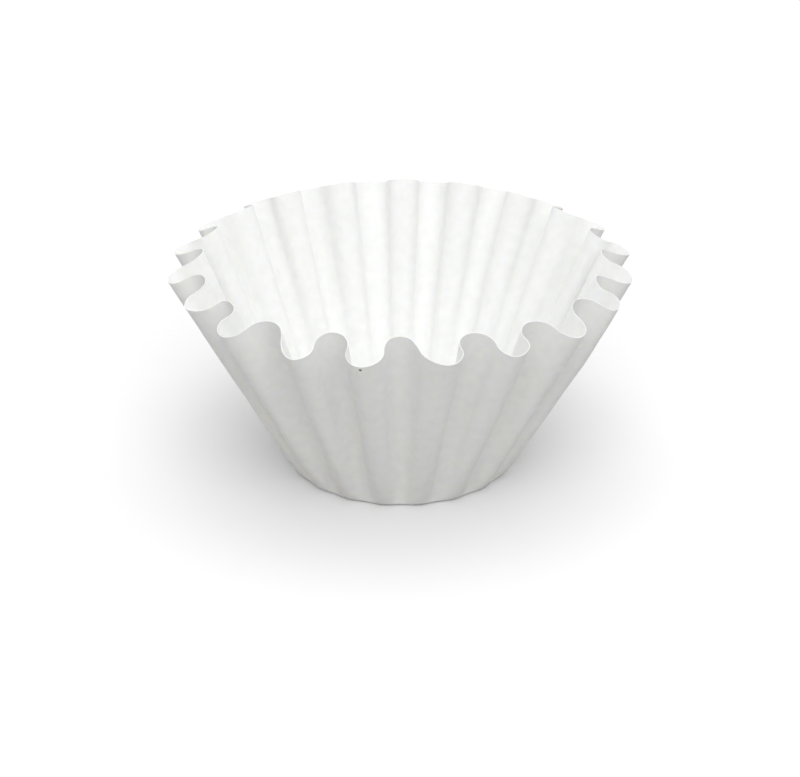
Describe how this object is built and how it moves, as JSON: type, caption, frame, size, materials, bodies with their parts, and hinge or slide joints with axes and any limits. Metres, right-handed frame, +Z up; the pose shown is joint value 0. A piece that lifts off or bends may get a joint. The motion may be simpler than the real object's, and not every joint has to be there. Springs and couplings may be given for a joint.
{
  "type": "paper coffee filter",
  "caption": "Flat-bottomed basket filter of thin pleated paper, with round flutes that widen from the base to a wavy rim.",
  "frame": {"origin": "centre of the flat base, on its underside", "axes": "+Z up along the filter's axis, out of its mouth; a ridge of the wall faces -Y"},
  "size_m": [0.1006, 0.1006, 0.0495],
  "materials": {
    "filter_paper": "matt bleached filter paper, soft and slightly see-through"
  },
  "bodies": {
    "root": {"filter_paper": "filter_paper"}
  },
  "joints": []
}
